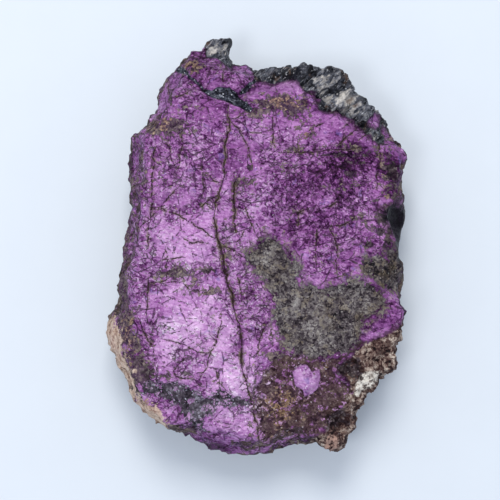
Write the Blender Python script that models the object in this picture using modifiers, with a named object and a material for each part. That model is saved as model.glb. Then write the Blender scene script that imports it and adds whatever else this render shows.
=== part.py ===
"""Purpurite specimen: one rough stone broken out of a vein, lying on a small flat spot.

The stone is a slab about 42 mm long, 30 mm wide and 11 mm thick. Its top is a broken face of
purple mineral in flat plates, with long cracks, a dark vein, a ledge and a sunken granular
patch. Grey blocky matrix clings to the north-east edge and to the south-east corner, and the
sides and the underside are chipped rock.

X runs across the slab, Y along it and Z up. The origin is under the middle of the stone's
box, in the flat spot. The lists below are in millimetres, and the finished mesh is in metres.
"""

import math

import bmesh
import bpy
import numpy as np
from mathutils import Matrix, Vector, noise

NAME = "purpurite"
MM = 0.001

# Size of the finished stone
WIDTH = 30.2
LENGTH = 42.0
THICKNESS = 11.2

# Grain of the working mesh, triangles of the finished stone, and the depth of the flat spot
VOXEL = 0.36
TRIANGLES = 8600
FOOT_CUT = 0.25

# The widest line around the stone, anticlockwise from the north: x, y, and how far the edge of
# the top lies inside it
OUTLINE = (
    (-2.9, 18, 1.3), (-4.4, 18.9, 1.3), (-6.1, 18.7, 1.2), (-7.2, 18.5, 1.2), (-8.6, 16.7, 1.1),
    (-8.9, 15.2, 1), (-8.7, 13.5, 0.9), (-10.2, 11.2, 0.8), (-11.1, 10.8, 0.8), (-12, 9.7, 0.9),
    (-12.1, 8, 1), (-11.8, 5.5, 0.9), (-12.4, 2.5, 1), (-13, -0.6, 1.2), (-13.1, -3.6, 1.3),
    (-12.5, -5.2, 1.2), (-12.9, -6.7, 1.4), (-14.2, -8.2, 1.9), (-15.1, -9.4, 2.1),
    (-14.9, -11, 2), (-14.1, -13.4, 1.7), (-12.7, -16.3, 1.6), (-11.7, -17.5, 1.5),
    (-9.1, -18.8, 1.1), (-6.9, -19, 0.8), (-6.1, -19.7, 1), (-3.4, -20.7, 0.4), (-0.9, -21.2, 0),
    (0.9, -20.8, 0), (2.3, -20.1, 0.1), (5.4, -19.8, 0.3), (7.6, -19.9, 0.8), (9.5, -18.8, 1.1),
    (10.2, -16.9, 1.3), (10.2, -15.8, 1.4), (12.8, -14.1, 1.6), (12.9, -12.1, 1.6),
    (14, -10.8, 1.2), (14.5, -9.9, 0.8), (14.2, -7.7, 0.6), (13.3, -6.7, 0.6), (12.5, -5.2, 0.8),
    (13.5, -3, 1), (13.3, -1.1, 0.9), (14, 0.8, 0.9), (15.1, 3, 0.9), (15, 4.3, 1.1),
    (15.2, 7.5, 1.2), (15.5, 9.6, 1.1), (13.4, 11.5, 1), (11.6, 12.7, 1), (10.6, 14, 1),
    (10, 15.4, 1), (8.3, 16.2, 1), (6.1, 17.1, 1), (4.8, 17.2, 1), (3.2, 16.8, 1), (0.4, 16.8, 1),
    (-1.4, 18.1, 1.2),
)

# The line down the middle that the outline is drawn in toward at the other levels
SPINE_X = -0.5
SPINE_REACH = 9.0

# Levels of the slab, bottom to top: height, share of the way in to the spine, and share of
# the top edge's inset
LEVELS = (
    (0.0, 0.50, 0.0),
    (1.3, 0.24, 0.0),
    (3.6, 0.05, 0.0),
    (5.6, 0.0, 0.0),
    (7.6, 0.0, 0.25),
    (9.9, 0.01, 1.0),
    (12.0, 0.04, 1.4),
)

# Flat planes of the broken top: a point on each, and its rise per millimetre along X and Y
TOP_PLANES = (
    ((-2.0, -4.0, 11.2), 0.0, 0.0),
    ((2.0, 10.0, 11.1), -0.04, -0.06),
    ((-6.0, 14.0, 10.8), 0.10, -0.09),
    ((-9.0, 2.0, 11.0), 0.13, 0.0),
    ((-9.0, -12.0, 10.9), 0.15, 0.09),
    ((5.0, -13.0, 10.9), -0.08, 0.13),
    ((8.5, 0.0, 11.0), -0.16, 0.02),
)

# Chips off the sides and the underside: direction, tilt above the level, and depth cut away
CHIPS = (
    (20, -38, 1.5), (62, -30, 1.2), (104, -42, 1.6), (150, -28, 0.9), (192, -40, 1.5),
    (228, -30, 1.3), (262, -44, 1.4), (300, -30, 1.5), (338, -46, 1.2), (80, -62, 1.0),
    (250, -64, 0.9), (318, 24, 0.5), (152, 30, 0.5), (42, 34, 1.4),
)

# Flat planes of the underside, around the flat spot: direction, distance out at which the
# plane leaves the ground, and its rise per millimetre
UNDER_PLANES = (
    (12, 3.4, 0.16), (60, 4.6, 0.13), (98, 5.6, 0.14), (140, 4.4, 0.13), (178, 3.8, 0.17),
    (222, 4.8, 0.13), (262, 5.6, 0.15), (305, 4.8, 0.12), (340, 4.2, 0.15),
)

# Hollows broken out of the stone: middle and half sizes of a round cutter
HOLLOWS = {
    "scoop": ((15.3, 1.3, 9.8), (3.5, 3.0, 4.0)),
    "east_facet": ((15.0, -3.5, 13.2), (5.6, 2.7, 4.0)),
    "corner_pit": ((8.7, -12.9, 11.2), (1.2, 0.9, 1.3)),
    "south_pit": ((7.3, -18.1, 10.6), (1.0, 1.1, 1.9)),
}

# Blocks of matrix grown onto the stone: middle and half sizes
BLOCKS = (
    ((-3.8, 19.1, 7.1), (1.35, 1.7, 2.0)),
    ((-5.8, 18, 7.4), (0.9, 1.1, 1.4)),
    ((1.5, 15.9, 8.1), (1.4, 1.3, 1.7)),
    ((3.1, 16, 8.3), (1.2, 1.2, 1.6)),
    ((4.7, 15.9, 8.2), (1.2, 1.5, 1.7)),
    ((5.9, 15.3, 8.6), (1.0, 1.6, 1.6)),
    ((7.7, 14.8, 8.4), (1.5, 2.1, 1.9)),
    ((9.3, 13.9, 8.3), (1.4, 1.9, 1.8)),
    ((10.4, 12.7, 8), (1.3, 1.6, 1.9)),
    ((11.7, 11.4, 8.1), (1.2, 1.5, 1.8)),
    ((10.7, -13.9, 8.7), (1.4, 1.6, 1.7)),
    ((12.2, -11.9, 8.2), (1.3, 1.5, 1.6)),
    ((9.5, -15.7, 8.2), (1.0, 1.3, 1.5)),
    ((6.9, -19, 6.8), (1.6, 2.1, 2.9)),
    ((8.8, -18.1, 7.6), (0.9, 1.0, 1.6)),
)

# Lines on the top, as routes seen from above
LEDGE = ((2.5, 8.1), (5.0, 8.25), (8.2, 8.5), (10.6, 8.9), (12.6, 9.1), (15.5, 9.4))
VEIN = ((-8.6, 16.3), (-6.9, 16.3), (-5.6, 14.9), (-3.4, 14.2), (-1.8, 13.5), (-0.5, 12.5))
# Cracks and the gap between the north blocks: depth, width and route
CRACKS = (
    (0.45, 0.85, ((-1.6, 13.7), (-2.7, 11.4), (-3.1, 8.4), (-3.9, 3.0), (-4.1, 1.9),
                  (-3.1, -3.2), (-1.8, -9.2), (-1.4, -13.8), (-0.3, -17.8), (0.4, -21.0))),
    (0.40, 0.80, ((-1.5, 10.6), (-0.9, 8.0), (-1.5, 5.4), (-2.3, 4.3), (-2.2, 0.4))),
    (0.30, 0.80, ((-7.7, 4.4), (-9.4, 2.6), (-10.5, 1.3), (-12.5, -0.6))),
    (0.30, 0.80, ((-10.2, 5.8), (-10.4, 1.3), (-10.6, -1.0))),
    (0.30, 0.80, ((-9.2, -9.2), (-7.4, -9.9), (-8.4, -12.4))),
    (1.60, 1.10, ((-2.2, 13.4), (-0.8, 14.7), (0.1, 15.6), (0.9, 16.6), (1.3, 18.5))),
)
PATCH_EDGE = (
    (-0.9, -1.5), (0.3, -0.6), (1.5, 0.0), (2.8, -1.1), (4.1, -3.1), (5.6, -4.9), (7.2, -5.2),
    (9.0, -4.6), (11.2, -4.9), (12.3, -6.8), (10.5, -8.2), (9.6, -10.4), (7.8, -11.4),
    (4.6, -11.8), (2.1, -10.3), (1.8, -8.6), (2.1, -6.6), (1.5, -4.6), (0.4, -3.0),
)
MATRIX_EDGE = (
    (-0.2, 15.0), (1.7, 14.6), (4.3, 15.2), (5.6, 14.0), (6.5, 12.3), (8.1, 12.1), (9.8, 10.9),
    (12.0, 9.3), (12.9, 10.4), (13.9, 14.0), (10.0, 20.0), (0.0, 20.0),
)
FLAKED_EDGE = (
    (-10.2, -14.0), (-7.0, -14.2), (-4.0, -15.8), (-2.0, -16.8), (-2.2, -18.4), (-5.0, -19.6),
    (-8.4, -18.6), (-10.6, -15.8),
)
WEATHERED_EDGE = (
    (-0.4, -12.2), (2.6, -11.3), (7.2, -11.6), (8.6, -14.0), (7.6, -17.0), (5.4, -21.0),
    (0.8, -21.0), (-0.4, -16.0),
)
RAISED_EDGE = (
    (3.5, -12.8), (4.9, -12.3), (6.0, -13.3), (5.9, -15.0), (4.4, -15.5), (3.4, -14.2),
)

# Regions that stand higher or lower than the face around them
REGIONS = (
    (-0.45, PATCH_EDGE),
    (-0.30, FLAKED_EDGE),
    (-0.35, WEATHERED_EDGE),
    (0.50, RAISED_EDGE),
)

# The shelf under the north-east matrix: its height, and its fall to the north-east in degrees
SHELF_HEIGHT = 9.3
SHELF_FALL = 7.0

# Relief of the top: the ledge's drop, the width of its face, how soon the ground below it rises
# again and the part of X over which it grows; the vein's trench; and the width of a region's edge
LEDGE_DROP = 0.85
LEDGE_WIDTH = 0.9
LEDGE_RECOVERY = 5.0
LEDGE_GROWS = (2.0, 11.5)
VEIN_DEPTH = 0.55
VEIN_WIDTH = 1.3
EDGE_SOFTNESS = 0.5

# Plates of the top face and of the matrix: spacing, tilt and step, and the width of a step
FACE_PLATES = (3.4, 0.035, 0.06)
MATRIX_PLATES = (1.3, 0.25, 0.25)
STEP_WIDTH = 0.22

# How far the lines on the top wander from their routes, and the length of a bend
WANDER = 0.35
WANDER_LENGTH = 2.4

# Chips of the sides and the underside, large and small: spacing, tilt and depth of a scar
LARGE_SCARS = (4.6, 0.22, 1.1)
SMALL_SCARS = (2.1, 0.12, 0.25)

# How far in from the widest line the chips reach: where they begin to fade, and where they end
RIM_BAND = (1.2, 4.2)

# Unevenness of the whole skin, its length, and what the upper face keeps of it
GRAIN = 0.16
GRAIN_LENGTH = 4.5
GRAIN_ON_TOP = 0.2

# Where the skin counts as the upper face, by its slope and its height
UPPER_SLOPE = (0.35, 0.75)
UPPER_HEIGHT = (7.6, 9.2)


def clear_scene():
    """Remove what the scene holds."""
    for obj in list(bpy.data.objects):
        bpy.data.objects.remove(obj, do_unlink=True)


def new_collection(name):
    """Add a collection to the scene."""
    collection = bpy.data.collections.new(name)
    bpy.context.scene.collection.children.link(collection)
    return collection


def new_object(name, bm, collection):
    """Turn a bmesh into an object and free the bmesh."""
    mesh = bpy.data.meshes.new(name)
    bm.to_mesh(mesh)
    bm.free()
    obj = bpy.data.objects.new(name, mesh)
    collection.objects.link(obj)
    return obj


def take_evaluated(obj):
    """Give an object's mesh as its modifiers leave it, and remove the object."""
    graph = bpy.context.evaluated_depsgraph_get()
    bm = bmesh.new()
    bm.from_mesh(obj.evaluated_get(graph).to_mesh())
    bpy.data.objects.remove(obj, do_unlink=True)
    return bm


def add_level(bm, height, share, rim_share):
    """One ring of the slab: the outline drawn in toward the spine at a height."""
    ring = []
    for number, (x, y, rim) in enumerate(OUTLINE):
        spine_y = max(-SPINE_REACH, min(SPINE_REACH, y))
        out_x = x - SPINE_X
        out_y = y - spine_y
        reach = math.hypot(out_x, out_y)
        wobble = 0.5 * noise.noise(Vector((number * 0.37, height * 0.6, 4.2)))
        keep = 1 - share - (rim_share * rim + (wobble if height < 4 else 0)) / reach
        place = Vector((SPINE_X + out_x * keep, spine_y + out_y * keep, height))
        ring.append(bm.verts.new(place * MM))
    return ring


def cut_flat(bm, point, normal):
    """Cut away what lies beyond a plane and close the cut with a flat face."""
    everything = bm.verts[:] + bm.edges[:] + bm.faces[:]
    bmesh.ops.bisect_plane(
        bm, geom=everything, dist=1e-7, plane_co=point, plane_no=normal, clear_outer=True)
    rim = [edge for edge in bm.edges if edge.is_boundary]
    bmesh.ops.holes_fill(bm, edges=rim, sides=0)


def make_slab(collection):
    """The body of the stone: rings joined into a slab, then cut by its flat planes."""
    bm = bmesh.new()
    rings = [add_level(bm, *level) for level in LEVELS]
    count = len(OUTLINE)
    for lower, upper in zip(rings, rings[1:]):
        for i in range(count):
            j = (i + 1) % count
            bm.faces.new((lower[i], lower[j], upper[j], upper[i]))
    bm.faces.new(list(reversed(rings[0])))
    bm.faces.new(rings[-1])
    bmesh.ops.recalc_face_normals(bm, faces=bm.faces)

    for point, rise_x, rise_y in TOP_PLANES:
        cut_flat(bm, Vector(point) * MM, Vector((-rise_x, -rise_y, 1)).normalized())
    for direction, tilt, depth in CHIPS:
        level = math.cos(math.radians(tilt))
        normal = Vector((
            math.cos(math.radians(direction)) * level,
            math.sin(math.radians(direction)) * level,
            math.sin(math.radians(tilt))))
        reach = max(vert.co.dot(normal) for vert in bm.verts)
        cut_flat(bm, normal * (reach - depth * MM), normal)
    for direction, start, rise in UNDER_PLANES:
        out = Vector((math.cos(math.radians(direction)), math.sin(math.radians(direction)), 0))
        cut_flat(bm, out * start * MM, (out * rise - Vector((0, 0, 1))).normalized())
    bmesh.ops.triangulate(bm, faces=bm.faces)
    return new_object("slab", bm, collection)


def subtract(slab, name, bm, collection):
    """Cut a shape out of the slab."""
    cutter = new_object(name + "_cutter", bm, collection)
    cutter.hide_render = True
    cutter.display_type = "WIRE"
    cut = slab.modifiers.new(name, "BOOLEAN")
    cut.operation = "DIFFERENCE"
    cut.object = cutter


def break_out_hollows(slab, collection):
    """Cut the rounded hollows out of the slab."""
    for name, (middle, half) in HOLLOWS.items():
        bm = bmesh.new()
        bmesh.ops.create_icosphere(bm, subdivisions=3, radius=1)
        bmesh.ops.scale(bm, vec=Vector(half) * MM, verts=bm.verts)
        bmesh.ops.translate(bm, vec=Vector(middle) * MM, verts=bm.verts)
        subtract(slab, name, bm, collection)


def break_out_shelf(slab, collection):
    """Cut the sloping shelf that the north-east matrix sits on."""
    bm = bmesh.new()
    floor = bm.faces.new([bm.verts.new(Vector((x, y, 0)) * MM) for x, y in MATRIX_EDGE])
    raised = bmesh.ops.extrude_face_region(bm, geom=[floor])["geom"]
    top = [item for item in raised if isinstance(item, bmesh.types.BMVert)]
    bmesh.ops.translate(bm, vec=Vector((0, 0, THICKNESS * MM)), verts=top)
    bmesh.ops.recalc_face_normals(bm, faces=bm.faces)
    corner = Vector((*MATRIX_EDGE[4], 0)) * MM
    fall = Matrix.Rotation(math.radians(SHELF_FALL), 3, Vector((-1, 1, 0)))
    bmesh.ops.rotate(bm, cent=corner, matrix=fall, verts=bm.verts)
    bmesh.ops.translate(bm, vec=Vector((0, 0, SHELF_HEIGHT * MM)), verts=bm.verts)
    subtract(slab, "shelf", bm, collection)


def cut_foot(stone, collection):
    """Cut the small flat spot that the stone rests on."""
    bm = bmesh.new()
    bmesh.ops.create_cube(bm, size=1)
    bmesh.ops.scale(bm, vec=Vector((WIDTH, LENGTH, THICKNESS)) * MM, verts=bm.verts)
    down = FOOT_CUT - THICKNESS / 2
    bmesh.ops.translate(bm, vec=Vector((0, 0, down)) * MM, verts=bm.verts)
    subtract(stone, "foot", bm, collection)


def add_block(bm, middle, half, seed):
    """An angular block of matrix: the hull of scattered points around its middle."""
    rng = np.random.default_rng(seed)
    corners = rng.normal(size=(22, 3))
    corners /= np.linalg.norm(corners, axis=1)[:, None]
    corners = np.sign(corners) * np.abs(corners) ** 0.6
    verts = [bm.verts.new((Vector(middle) + Vector(half) * Vector(corner)) * MM)
             for corner in corners]
    hull = bmesh.ops.convex_hull(bm, input=verts)
    inside = [item for item in hull["geom_interior"] if isinstance(item, bmesh.types.BMVert)]
    bmesh.ops.delete(bm, geom=inside, context="VERTS")


def route_distance(points, route):
    """Distance of each point from a route, and how far along the route it is, 0 to 1."""
    route = np.array(route)
    lengths = np.linalg.norm(np.diff(route, axis=0), axis=1)
    total = lengths.sum()
    best = np.full(len(points), np.inf)
    along = np.zeros(len(points))
    run = 0.0
    for start, end, length in zip(route, route[1:], lengths):
        t = np.clip((points - start) @ (end - start) / length ** 2, 0, 1)
        gap = np.linalg.norm(points - start - t[:, None] * (end - start), axis=1)
        nearer = gap < best
        best = np.where(nearer, gap, best)
        along = np.where(nearer, (run + t * length) / total, along)
        run += length
    return best, along


def depth_inside(points, outline):
    """How far each point lies inside a closed outline; negative outside it."""
    closed = np.array(outline + outline[:1])
    gap, _ = route_distance(points, closed)
    x, y = points[:, 0], points[:, 1]
    inside = np.zeros(len(points), bool)
    for (x0, y0), (x1, y1) in zip(closed, closed[1:]):
        spans = (y0 > y) != (y1 > y)
        crossing = x0 + (y - y0) * (x1 - x0) / np.where(spans, y1 - y0, 1.0)
        inside ^= spans & (x < crossing)
    return np.where(inside, gap, -gap)


def smooth(low, high, value):
    """0 below low, 1 above high, and an S-curve between."""
    t = np.clip((value - low) / (high - low), 0, 1)
    return t * t * (3 - 2 * t)


def rough(places, size, octaves, seed):
    """Fractal noise of a given grain at each place."""
    offset = Vector((seed * 7.3, seed * 3.1, seed * 5.7))
    return np.array([noise.fractal(Vector(place) / size + offset, 0.9, 2.1, octaves)
                     for place in places])


def scatter(places, size, tilt, step, seed):
    """Scattered middles of plates, one to a cell of a grid, with a slope and a height each."""
    rng = np.random.default_rng(seed)
    low = np.floor(places.min(axis=0) / size) - 1
    high = np.ceil(places.max(axis=0) / size) + 1
    grid = np.stack(np.meshgrid(*[np.arange(a, b) for a, b in zip(low, high)], indexing="ij"), -1)
    grid = grid.reshape(-1, places.shape[1])
    seeds = (grid + rng.uniform(0.05, 0.95, grid.shape)) * size
    slopes = rng.normal(0, tilt, grid.shape)
    offsets = rng.normal(0, step, len(grid))
    return seeds, slopes, offsets


def plates(places, size, tilt, step, seed):
    """Relief of flat plates: each is level or a little tilted, with short steps between."""
    seeds, slopes, offsets = scatter(places, size, tilt, step, seed)
    relief = np.empty(len(places))
    for start in range(0, len(places), 2000):
        part = places[start:start + 2000]
        away = part[:, None] - seeds[None]
        gaps = np.linalg.norm(away, axis=2)
        weight = np.exp((gaps.min(axis=1)[:, None] - gaps) / STEP_WIDTH)
        level = offsets + (away * slopes).sum(axis=2)
        relief[start:start + 2000] = (weight * level).sum(axis=1) / weight.sum(axis=1)
    return relief


def flake_scars(places, size, tilt, bowl, seed):
    """Relief of a chipped side: dished scars that meet in sharp ridges."""
    seeds, slopes, offsets = scatter(places, size, tilt, 0.5 * bowl, seed)
    relief = np.empty(len(places))
    for start in range(0, len(places), 2000):
        part = places[start:start + 2000]
        away = part[:, None] - seeds[None]
        dish = bowl * (away ** 2).sum(axis=2) / size ** 2
        level = offsets + (away * slopes).sum(axis=2) + dish
        relief[start:start + 2000] = level.min(axis=1)
    return relief - relief.mean()


def away_from_blocks(places):
    """1 on the slab, falling to 0 on the small blocks, which chips would break off."""
    nearest = np.full(len(places), np.inf)
    for middle, half in BLOCKS:
        reach = np.linalg.norm((places - middle) / half, axis=1)
        nearest = np.minimum(nearest, reach)
    return smooth(1.0, 1.9, nearest)


def away_from_blocks(places):
    """1 on the slab, falling to 0 on the small blocks, which chips would break off."""
    nearest = np.full(len(places), np.inf)
    for middle, half in BLOCKS:
        reach = np.linalg.norm((places - middle) / half, axis=1)
        nearest = np.minimum(nearest, reach)
    return smooth(1.0, 1.9, nearest)


def top_relief(places):
    """Height change over the top face."""
    bends = [rough(places, WANDER_LENGTH, 2, seed) for seed in (1, 2)]
    warped = places[:, :2] + WANDER * np.stack(bends, axis=1)
    x, y = warped[:, 0], warped[:, 1]
    relief = plates(warped, *FACE_PLATES, 5)

    ledge_y = np.interp(x, *zip(*LEDGE))
    below = ledge_y - y
    drop = LEDGE_DROP * smooth(*LEDGE_GROWS, x)
    recovery = np.exp(-np.clip(below, 0, None) / LEDGE_RECOVERY)
    relief -= drop * smooth(0.0, LEDGE_WIDTH, below) * recovery

    gap, along = route_distance(warped, VEIN)
    half = VEIN_WIDTH / 2 * (0.35 + 0.65 * np.sin(math.pi * np.clip(along * 1.1, 0, 1)))
    relief -= VEIN_DEPTH * (1 - smooth(0.5 * half, 1.3 * half, gap))

    for depth, width, route in CRACKS:
        gap, along = route_distance(warped, route)
        fade = np.sqrt(np.sin(math.pi * np.clip(along, 0.04, 0.96)))
        relief -= depth * fade * (1 - smooth(0.0, width / 2, gap))

    for height, edge in REGIONS:
        relief += height * smooth(0.0, EDGE_SOFTNESS, depth_inside(warped, edge))

    matrix = smooth(0.0, EDGE_SOFTNESS, depth_inside(warped, MATRIX_EDGE))
    relief += matrix * plates(warped, *MATRIX_PLATES, 9)
    return relief


def break_surface(bm):
    """Give the whole skin its rock: chipped sides, a rough underside and the top's relief."""
    bm.normal_update()
    places = np.array([vert.co[:] for vert in bm.verts]) / MM
    normals = np.array([vert.normal[:] for vert in bm.verts])
    seen = places[:, :2]
    up = smooth(*UPPER_SLOPE, normals[:, 2]) * smooth(*UPPER_HEIGHT, places[:, 2])
    under = smooth(0.3, 0.8, -normals[:, 2])
    off_ground = smooth(0.1, 1.3, places[:, 2])

    chips = away_from_blocks(places) * flake_scars(places, *LARGE_SCARS, 3)
    chips += flake_scars(places, *SMALL_SCARS, 4)
    rim = 1 - smooth(*RIM_BAND, depth_inside(seen, tuple(point[:2] for point in OUTLINE)))
    spine_y = np.clip(seen[:, 1], -SPINE_REACH, SPINE_REACH)
    out = seen - np.stack([np.full(len(seen), SPINE_X), spine_y], axis=1)
    out /= np.linalg.norm(out, axis=1)[:, None] + 0.1

    grain = GRAIN * rough(places, GRAIN_LENGTH, 3, 11) * off_ground
    grain *= 1 - (1 - GRAIN_ON_TOP) * up
    moved = places + normals * grain[:, None]
    moved[:, :2] += out * (rim * chips)[:, None]
    moved[:, 2] -= under * off_ground * chips
    moved[:, 2] += up * top_relief(places)
    for vert, place in zip(bm.verts, moved):
        vert.co = Vector(place) * MM


def keep_largest(bm):
    """Drop loose scraps and keep the one body."""
    left = set(bm.verts)
    bodies = []
    while left:
        stack = [left.pop()]
        body = set(stack)
        while stack:
            for edge in stack.pop().link_edges:
                for vert in edge.verts:
                    if vert in left:
                        left.remove(vert)
                        body.add(vert)
                        stack.append(vert)
        bodies.append(body)
    bodies.sort(key=len)
    scraps = [vert for body in bodies[:-1] for vert in body]
    bmesh.ops.delete(bm, geom=scraps, context="VERTS")


def fit_to_size(bm):
    """Bring the stone to its size, with the flat spot at zero height."""
    places = np.array([vert.co[:] for vert in bm.verts])
    low, high = places.min(axis=0), places.max(axis=0)
    size = np.array((WIDTH, LENGTH, THICKNESS)) * MM
    middle = Vector(((low[0] + high[0]) / 2, (low[1] + high[1]) / 2, low[2]))
    bmesh.ops.translate(bm, vec=-middle, verts=bm.verts)
    bmesh.ops.scale(bm, vec=Vector(size / (high - low)), verts=bm.verts)


def stone_material():
    """Purple, faintly metallic mineral."""
    material = bpy.data.materials.new(NAME)
    material.use_nodes = True
    shader = material.node_tree.nodes["Principled BSDF"]
    shader.inputs["Base Color"].default_value = (0.27, 0.09, 0.30, 1)
    shader.inputs["Roughness"].default_value = 0.5
    shader.inputs["Metallic"].default_value = 0.1
    return material


def make_stone():
    """The whole specimen as one closed body."""
    stone_collection = new_collection(NAME)
    cutters = new_collection("cutters")
    slab = make_slab(stone_collection)
    break_out_hollows(slab, cutters)
    break_out_shelf(slab, cutters)
    bm = take_evaluated(slab)
    for seed, (middle, half) in enumerate(BLOCKS):
        add_block(bm, middle, half, seed)

    whole = new_object("whole", bm, stone_collection)
    remesh = whole.modifiers.new("One skin", "REMESH")
    remesh.mode = "VOXEL"
    remesh.voxel_size = VOXEL * MM
    bm = take_evaluated(whole)
    keep_largest(bm)
    break_surface(bm)
    bmesh.ops.triangulate(bm, faces=bm.faces)

    share = TRIANGLES / len(bm.faces)
    fine = new_object("fine", bm, stone_collection)
    fewer = fine.modifiers.new("Fewer faces", "DECIMATE")
    fewer.ratio = share
    fewer.use_collapse_triangulate = True
    cut_foot(fine, cutters)
    bm = take_evaluated(fine)
    bmesh.ops.dissolve_degenerate(bm, dist=2e-5, edges=bm.edges)
    bmesh.ops.triangulate(bm, faces=bm.faces)
    fit_to_size(bm)
    stone = new_object(NAME, bm, stone_collection)
    stone.data.materials.append(stone_material())
    return stone


clear_scene()
make_stone()
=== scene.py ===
import math

import bmesh
import bpy
import numpy as np
from mathutils import Matrix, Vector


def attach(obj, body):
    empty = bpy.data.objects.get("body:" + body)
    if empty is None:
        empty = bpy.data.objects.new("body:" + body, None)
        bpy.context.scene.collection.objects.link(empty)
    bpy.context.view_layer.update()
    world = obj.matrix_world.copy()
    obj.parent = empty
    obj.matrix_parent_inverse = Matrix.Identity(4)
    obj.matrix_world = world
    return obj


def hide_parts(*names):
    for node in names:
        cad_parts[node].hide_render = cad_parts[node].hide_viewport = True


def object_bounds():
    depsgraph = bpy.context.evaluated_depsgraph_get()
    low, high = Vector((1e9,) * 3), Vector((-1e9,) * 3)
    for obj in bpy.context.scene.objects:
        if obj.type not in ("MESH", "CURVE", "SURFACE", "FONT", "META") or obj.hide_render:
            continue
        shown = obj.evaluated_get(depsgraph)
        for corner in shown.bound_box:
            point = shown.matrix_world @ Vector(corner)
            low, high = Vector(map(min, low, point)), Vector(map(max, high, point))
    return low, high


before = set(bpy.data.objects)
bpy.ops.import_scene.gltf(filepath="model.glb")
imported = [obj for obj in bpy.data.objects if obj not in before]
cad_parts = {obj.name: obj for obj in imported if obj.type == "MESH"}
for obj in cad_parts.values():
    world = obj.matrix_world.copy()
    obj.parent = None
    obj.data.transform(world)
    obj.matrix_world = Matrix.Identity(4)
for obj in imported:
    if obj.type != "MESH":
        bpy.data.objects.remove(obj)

cad_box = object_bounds()

# THE BROKEN STONE
# A slab of rock as long as a thumb joint, broken off all round and left rough. Its skin is
# taken off the solid, cut fine enough to carry grains, and finest on the purple face on top.
MM = 0.001
WELD = 0.002
SKIN_CELL = 0.283
SOFTENING = 2
FACE_TURN = 0.42
TOP_HEIGHT = 3.5
SEED = 417


def put(name, data):
    """A new object, placed in the scene."""
    made = bpy.data.objects.new(name, data)
    bpy.context.scene.collection.objects.link(made)
    return made


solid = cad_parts["purpurite"]
skin = bpy.data.meshes.new_from_object(solid)
skin.transform(Matrix.Scale(1 / MM, 4))
shaper = bmesh.new()
shaper.from_mesh(skin)
bmesh.ops.remove_doubles(shaper, verts=shaper.verts, dist=WELD)
shaper.to_mesh(skin)
shaper.free()
blank = put("blank", skin)
recut = blank.modifiers.new("recut", "REMESH")
recut.mode = "VOXEL"
recut.voxel_size = SKIN_CELL
soften = blank.modifiers.new("soften", "SMOOTH")
soften.iterations = SOFTENING
cut = bpy.data.meshes.new_from_object(
    blank.evaluated_get(bpy.context.evaluated_depsgraph_get()))
bpy.data.objects.remove(blank)

shaper = bmesh.new()
shaper.from_mesh(cut)
top_faces = [f for f in shaper.faces if f.normal.z > FACE_TURN]
top_edges = list({e for f in top_faces for e in f.edges})
bmesh.ops.subdivide_edges(shaper, edges=top_edges, cuts=1, use_grid_fill=True)
shaper.to_mesh(cut)
shaper.free()

count = len(cut.vertices)


def read(attribute, width):
    """What the skin's points hold under that name, a row for each."""
    values = np.empty(count * width)
    cut.vertices.foreach_get(attribute, values)
    return values.reshape(count, width)


places = read("co", 3)
facing = read("normal", 3)
pairs = np.empty(len(cut.edges) * 2, int)
cut.edges.foreach_get("vertices", pairs)
pairs = pairs.reshape(-1, 2)
ends = np.concatenate((pairs[:, 0], pairs[:, 1]))
others = np.concatenate((pairs[:, 1], pairs[:, 0]))
shares = np.bincount(ends, minlength=count)


def spread(values, rounds):
    """Each point's value averaged with its neighbours', over and over."""
    values = np.array(values, float).reshape(count, -1)
    for _ in range(rounds):
        values = np.stack([np.bincount(ends, column[others], count) / shares
                           for column in values.T], 1) * 0.5 + values * 0.5
    return values.squeeze()


def ease(values, low, high):
    """0 below low, 1 above high, and smooth between."""
    share = np.clip((values - low) / (high - low), 0, 1)
    return share * share * (3 - 2 * share)


CHANCES = np.random.default_rng(SEED).random((4096, 4))
STRIDES = np.array((73856093, 19349663, 83492791))


def chance(cells, seed):
    """Four random numbers for each whole-numbered cell."""
    key = (cells.astype(np.int64) + seed * 57) * STRIDES
    return CHANCES[(key[..., 0] ^ key[..., 1] ^ key[..., 2]) & 4095]


CORNERS = [np.array((x, y, z)) for x in (0, 1) for y in (0, 1) for z in (0, 1)]


def ripple(at, length, seed, layers=2):
    """Smooth unevenness from about -1 to 1, with bumps about as long as length."""
    total, share = 0.0, 1.0
    for layer in range(layers):
        spot = at / (length * 0.5 ** layer)
        cell = np.floor(spot)
        part = spot - cell
        part = part * part * (3 - 2 * part)
        field = 0.0
        for corner in CORNERS:
            weight = np.prod(np.where(corner, part, 1 - part), axis=1)
            field = field + weight * chance(cell + corner, seed + layer)[:, 0]
        total = total + (field * 2 - 1) * share
        share *= 0.5
    return total


NEIGHBOURS = [np.array((x, y, z)) for x in (-1, 0, 1) for y in (-1, 0, 1) for z in (-1, 0, 1)]


def chipped(at, size, seed, tilt):
    """Breaks the places into flat flakes, each tilted its own way: the height there, how
    far the flake's edge is, and four random numbers for each flake."""
    spot = at / size
    cell = np.floor(spot)
    first = np.full(len(at), 9.0)
    second = np.full(len(at), 9.0)
    way = np.zeros_like(at)
    tags = np.zeros((len(at), 4))
    for neighbour in NEIGHBOURS:
        draws = chance(cell + neighbour, seed)
        arm = cell + neighbour + draws[:, :3] - spot
        reach = np.sqrt((arm * arm).sum(1))
        nearer = reach < first
        second = np.where(nearer, first, np.minimum(second, reach))
        first = np.where(nearer, reach, first)
        way[nearer] = arm[nearer]
        tags[nearer] = draws[nearer]
    height = (way * size * (tags[:, :3] * 2 - 1)).sum(1) * tilt
    return height, (second - first) * size / 2, tags


marks = {}
outward = spread(facing, 6)
outward /= np.linalg.norm(outward, axis=1)[:, None]
on_top = ease(outward[:, 2], 0.30, 0.62)
under = ease(-outward[:, 2], 0.15, 0.5)
wall = np.clip(1 - on_top - under, 0, 1)
above = places[:, 2] > TOP_HEIGHT
relief = np.zeros(count)

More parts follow.
